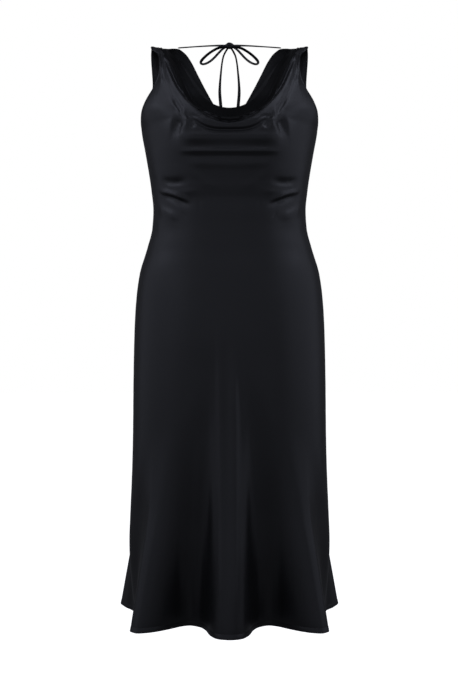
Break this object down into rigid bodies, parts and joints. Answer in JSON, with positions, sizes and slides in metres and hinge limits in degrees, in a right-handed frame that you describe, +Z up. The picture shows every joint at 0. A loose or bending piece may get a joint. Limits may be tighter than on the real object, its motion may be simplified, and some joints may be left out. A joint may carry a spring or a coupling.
{
  "type": "satin cowl-neck slip dress",
  "caption": "Sleeveless satin slip dress in worn shape: draped cowl neck, open V back tied with a string bow, fluted flared skirt.",
  "frame": {"origin": "midway between the two shoulder seams, level with their tops, where the wearer's shoulders carry the dress", "axes": "+Z up along the dress, the front faces -Y, +X to the right of someone who looks at the front"},
  "size_m": [0.4958, 0.403, 1.2942],
  "materials": {
    "front_satin": "satin",
    "back_satin": "satin",
    "tie_satin": "satin"
  },
  "bodies": {
    "root": {"front": "front_satin", "back": "back_satin", "tie_span_left": "tie_satin", "tie_span_right": "tie_satin", "bow_loop_left": "tie_satin", "bow_loop_right": "tie_satin", "tie_tail_left": "tie_satin", "tie_tail_right": "tie_satin", "bow_knot": "tie_satin"}
  },
  "joints": []
}
